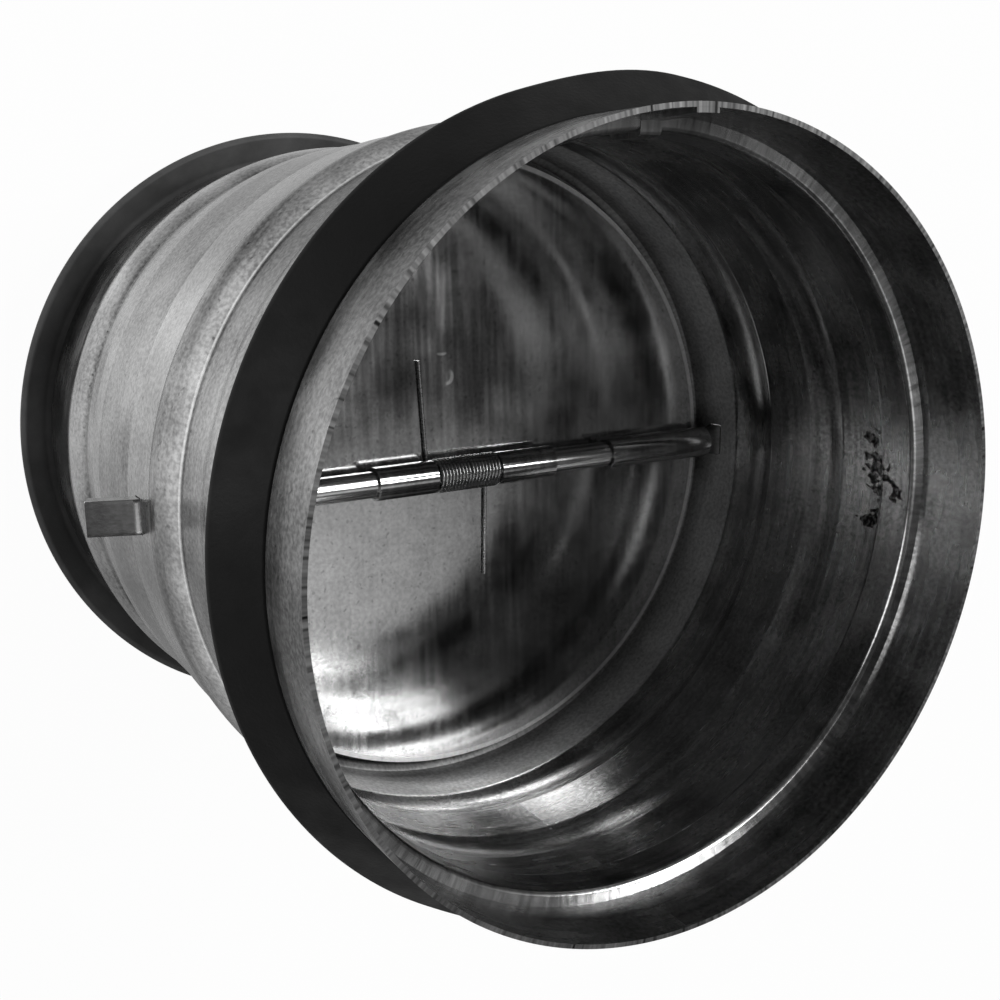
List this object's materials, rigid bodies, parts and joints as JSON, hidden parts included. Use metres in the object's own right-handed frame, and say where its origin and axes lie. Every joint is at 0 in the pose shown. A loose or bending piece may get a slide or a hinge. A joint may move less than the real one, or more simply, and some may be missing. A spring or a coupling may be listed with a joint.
{
  "type": "backdraft damper",
  "caption": "Round sheet-metal duct damper: a beaded casing with rubber lip seals near its ends, and spring-closed half-round blades on a pin across the bore that air flow opens.",
  "frame": {"origin": "centre of the inlet rim, on the duct's axis", "axes": "+Z along the duct axis with the air flow, from inlet to outlet; +X along the hinge pin; +Y towards the casing's lap seam and the upper blade"},
  "size_m": [0.1154, 0.11, 0.132],
  "materials": {
    "galvanised_sheet": "galvanised, glossy with faint spangle",
    "seal_rubber": "matte",
    "pin_steel": "drawn, zinc plated",
    "blade_sheet": "galvanised, bright",
    "spring_wire": "drawn spring wire",
    "strap_steel": "galvanised"
  },
  "bodies": {
    "housing": {"casing": "galvanised_sheet", "inlet_seal": "seal_rubber", "outlet_seal": "seal_rubber", "hinge_pin": "pin_steel", "torsion_spring": "spring_wire", "stop_strap": "strap_steel"},
    "upper_leaf": {"upper_blade": "blade_sheet"},
    "lower_leaf": {"lower_blade": "blade_sheet"}
  },
  "joints": [
    {"name": "upper_blade_hinge", "type": "hinge", "parent": "housing", "child": "upper_leaf", "pos_m": [0, 0, 0.0781], "axis": [1, 0, 0], "range_deg": [0, 80], "stiffness_Nm_per_rad": 0.004, "springref_deg": -40.11, "deforming": ["torsion_spring"]},
    {"name": "lower_blade_hinge", "type": "hinge", "parent": "housing", "child": "lower_leaf", "pos_m": [0, 0, 0.0781], "axis": [-1, 0, 0], "range_deg": [0, 80], "stiffness_Nm_per_rad": 0.004, "springref_deg": -40.11, "deforming": ["torsion_spring"]}
  ]
}
